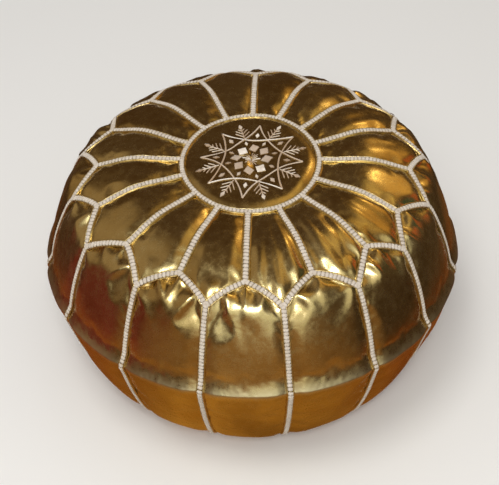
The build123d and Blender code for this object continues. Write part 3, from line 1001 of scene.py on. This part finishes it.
def inner_bag(name, depth, lump, scale, floor, material, node):
    """A lumpy closed bag that follows the cover from inside, flattened above the zip."""
    cols = 96
    phi = FRONT + np.arange(cols) * 2 * math.pi / cols
    rows = np.linspace(4 * MM, S_T[-1] - 6 * MM, 70)
    point, normal = surface(phi[None, :], rows[:, None], -depth)
    bumps = np.array([noise.fractal(Vector(p) * scale, 0.8, 2.0, 3) for p in point.reshape(-1, 3)])
    point = point + normal * (bumps.reshape(point.shape[:2]) * lump)[..., None]
    point[..., 2] = np.maximum(point[..., 2], floor)
    verts = np.concatenate([point.reshape(-1, 3), point[:1, :].mean(1), point[-1:, :].mean(1)])
    faces = loop_faces(len(rows), cols)
    top, bottom, last = len(verts) - 2, len(verts) - 1, (len(rows) - 1) * cols
    faces += [(top, i, (i + 1) % cols) for i in range(cols)]
    faces += [(bottom, last + (i + 1) % cols, last + i) for i in range(cols)]
    finish_piece(mesh_object(name, verts, faces), material, [node])


def build_inside():
    """Cotton liner under the leather, and the lumpy stuffing inside it."""
    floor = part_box("zip_slider")[1].z + 1.5 * MM
    inner_bag("liner_bag", 9.5 * MM, 1.0 * MM, 30, floor, COTTON, "inner_liner")
    inner_bag("stuffing_scraps", 15 * MM, 4.5 * MM, 26, floor + 2.5 * MM, SCRAPS,
              "stuffing")


def dress_zip():
    for name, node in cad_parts.items():
        if name.startswith("zip_"):
            node.data.materials.clear()
            node.data.materials.append(TAPE_CLOTH if "tape" in name else BRASS)


# ---------------------------------------------------------------- stage, light and camera
def direction(azimuth, elevation):
    """Unit vector from the pouf; azimuth in degrees from the front, positive to the right."""
    a, e = math.radians(azimuth), math.radians(elevation)
    return Vector((math.sin(a) * math.cos(e), -math.cos(a) * math.cos(e), math.sin(e)))


BACKDROP = (0.90, 0.895, 0.885, 1)


def floor_material():
    """Pale studio floor to the camera; to glossy rays it glows as a warm wooden floor, a painted reflection
    in the foil. It is see-through from below, and lets light up to the base."""
    n = Nodes("floor")
    path = n.add("ShaderNodeLightPath")
    ahead = n.vector("NORMALIZE", n.coords)
    heading = n.add("ShaderNodeSeparateXYZ")
    n.put(heading.inputs[0], ahead)
    distance = n.vector("LENGTH", n.coords, output="Value")
    mottle = n.noise(3.4, 4, 0.6, 0.5)
    across = n.math("ABSOLUTE", heading.outputs["X"])
    near = n.mix(n.remap(across, 0.45, 0.9), (0.34, 0.150, 0.021, 1), (0.20, 0.055, 0.008, 1))
    front = n.remap(n.math("MULTIPLY", heading.outputs["Y"], -1), 0.55, 0.97)
    left = n.remap(n.vector("DOT_PRODUCT", ahead, direction(-66, 0), "Value"), 0.78, 0.95)
    right = n.remap(heading.outputs["X"], 0.35, 0.8)
    far = n.mix(left, (0.065, 0.033, 0.015, 1), (0.135, 0.026, 0.016, 1))
    far = n.mix(right, far, (0.050, 0.028, 0.011, 1))
    far = n.mix(front, far, (0.26, 0.135, 0.042, 1))
    glow = n.mix(n.remap(distance, 0.36, 0.62), near, far)
    glow = n.mix(n.remap(mottle, 0.35, 0.65), glow, (0.42, 0.38, 0.34, 1), "MULTIPLY")
    pale = n.glow("ShaderNodeBsdfDiffuse", (0.86, 0.855, 0.845, 1))
    backdrop = n.glow("ShaderNodeEmission", BACKDROP)
    # Painted reflection: a warm wooden floor that glows only to glossy rays.
    warm = n.glow("ShaderNodeEmission", glow, 1.3)
    away = n.math("MULTIPLY", n.remap(distance, 0.9, 4.5), path.outputs["Is Camera Ray"])
    above = n.blend(path.outputs["Is Glossy Ray"], n.blend(away, pale, backdrop), warm)
    below = n.add("ShaderNodeBsdfTransparent")
    soft = n.math("MAXIMUM", path.outputs["Is Diffuse Ray"], path.outputs["Is Shadow Ray"])
    under = n.math("MULTIPLY", n.math("LESS_THAN", distance, BASE_R), soft)
    clear = n.math("MAXIMUM", n.add("ShaderNodeNewGeometry").outputs["Backfacing"], under)
    both = n.blend(clear, above, below)
    n.put(n.tree.nodes["Material Output"].inputs["Surface"], both.outputs[0])
    return n.owner


def build_floor():
    """A wide floor, open under the base so that the underside can be lit and seen from below."""
    count = 72
    turn = np.linspace(0, 2 * math.pi, count, endpoint=False)
    verts = [(r * math.cos(a), r * math.sin(a), -0.3 * MM) for r in (FLAT_R - 2 * MM, 14.0) for a in turn]
    faces = [(i, i + count, (i + 1) % count + count, (i + 1) % count) for i in range(count)]
    obj = mesh_object("studio_floor", verts, faces, smooth=False)
    obj.data.materials.append(floor_material())


# What the foil sees of the room. A patch: azimuth and elevation, angle of full colour, angle of none, colour.
ROOM_DARK = (0.078, 0.044, 0.015, 1)
ROOM_PATCHES = (
    (180, 30, 33, 46, (0.058, 0.029, 0.009, 1)),       # dark wall behind
    (-94, 34, 20, 46, (0.28, 0.195, 0.10, 1)),         # wall at the left
    (78, 12, 22, 50, (0.070, 0.045, 0.022, 1)),        # dark corner at the right
    (146, 35, 5, 19, (0.60, 0.32, 0.07, 1)),           # lamplight at the back right
    (105, 70, 6, 22, (0.44, 0.28, 0.09, 1)),           # pale ceiling above the right
    (134, 62, 3, 10, (0.74, 0.50, 0.15, 1)),           # lampshade overhead
    (118, 20, 3, 13, (0.46, 0.10, 0.02, 1)),           # red rug edge
    (97, 26, 3, 15, (0.03, 0.06, 0.03, 1)),            # green plant
    (4, -6, 15, 26, (0.27, 0.145, 0.050, 1)),          # wooden wall in front
    (8, 41, 32, 41, (0.70, 0.65, 0.46, 1)),            # bright window above it
)


def build_world():
    """Pale to the camera, an even soft fill for thread, and a dim warm room in the foil's reflections."""
    world = bpy.data.worlds.new("studio")
    bpy.context.scene.world = world
    n = Nodes(world)
    path = n.add("ShaderNodeLightPath")
    wander = n.vector("SUBTRACT", n.noise(2.4, 3.0, 0.5, output="Color"), (0.5, 0.5, 0.5))
    shifted = n.vector("NORMALIZE", n.vector("ADD", n.coords, n.vector("SCALE", wander, 0.9)))
    colour = ROOM_DARK
    for azimuth, elevation, full, none, tint in ROOM_PATCHES:
        dot = n.vector("DOT_PRODUCT", shifted, direction(azimuth, elevation), "Value")
        near = n.remap(dot, math.cos(math.radians(none)), math.cos(math.radians(full)), kind="SMOOTHSTEP")
        colour = n.mix(near, colour, tint)
    room = n.glow("ShaderNodeBackground", colour)
    fill = n.glow("ShaderNodeBackground", (1.0, 0.985, 0.96, 1), 0.55)
    pale = n.glow("ShaderNodeBackground", BACKDROP)
    lit = n.blend(path.outputs["Is Camera Ray"], n.blend(path.outputs["Is Glossy Ray"], fill, room), pale)
    n.put(n.tree.nodes["World Output"].inputs["Surface"], lit.outputs[0])


def softbox(name, azimuth, elevation, distance, width, height, power, colour, mirrored=True):
    data = bpy.data.lights.new(name, "AREA")
    data.shape = "RECTANGLE"
    data.size, data.size_y = width, height
    data.energy = power
    data.color = colour
    obj = bpy.data.objects.new(name, data)
    bpy.context.scene.collection.objects.link(obj)
    toward = direction(azimuth, elevation)
    obj.location = Vector((0, 0, 0.18)) + toward * distance
    obj.rotation_mode = "QUATERNION"
    obj.rotation_quaternion = toward.to_track_quat("Z", "Y")
    obj.visible_glossy = mirrored


def build_camera():
    """Seen from the front and 45 degrees above, a little to the right of the front seam."""
    azimuth, elevation, distance, roll = 3.1, 45.3, 1.4965, math.radians(1.6)
    data = bpy.data.cameras.new("camera")
    data.sensor_width, data.lens = 36.0, 79.8
    data.clip_start, data.clip_end = 0.05, 60
    obj = bpy.data.objects.new("camera", data)
    bpy.context.scene.collection.objects.link(obj)
    back = direction(azimuth, elevation)
    right = Vector((math.cos(math.radians(azimuth)), math.sin(math.radians(azimuth)), 0))
    target = Vector((0, 0, 0.1512)) - right * 4.1 * MM
    obj.location = target + back * distance
    obj.rotation_mode = "QUATERNION"
    look = (-back).to_track_quat("-Z", "Y")
    obj.rotation_quaternion = look @ Matrix.Rotation(-roll, 3, "Z").to_quaternion()
    bpy.context.scene.camera = obj


start = cover_start()
cover = relax_cover(start)
build_cover(cover)
build_medallion()
build_seams()
build_embroidery()
build_base()
build_inside()
dress_zip()
build_floor()
build_world()
softbox("key", -4, 46, 2.2, 0.80, 0.50, 11, (1.0, 0.98, 0.94))
softbox("flash", 6, 52, 1.7, 0.14, 0.14, 2.4, (1.0, 0.98, 0.95))
softbox("lamp", 146, 41, 2.2, 0.22, 0.40, 0.9, (1.0, 0.70, 0.26))
softbox("overhead", -40, 72, 2.4, 0.9, 0.9, 16, (1.0, 0.97, 0.93), mirrored=False)
build_camera()
bpy.context.scene.view_settings.view_transform = "Standard"
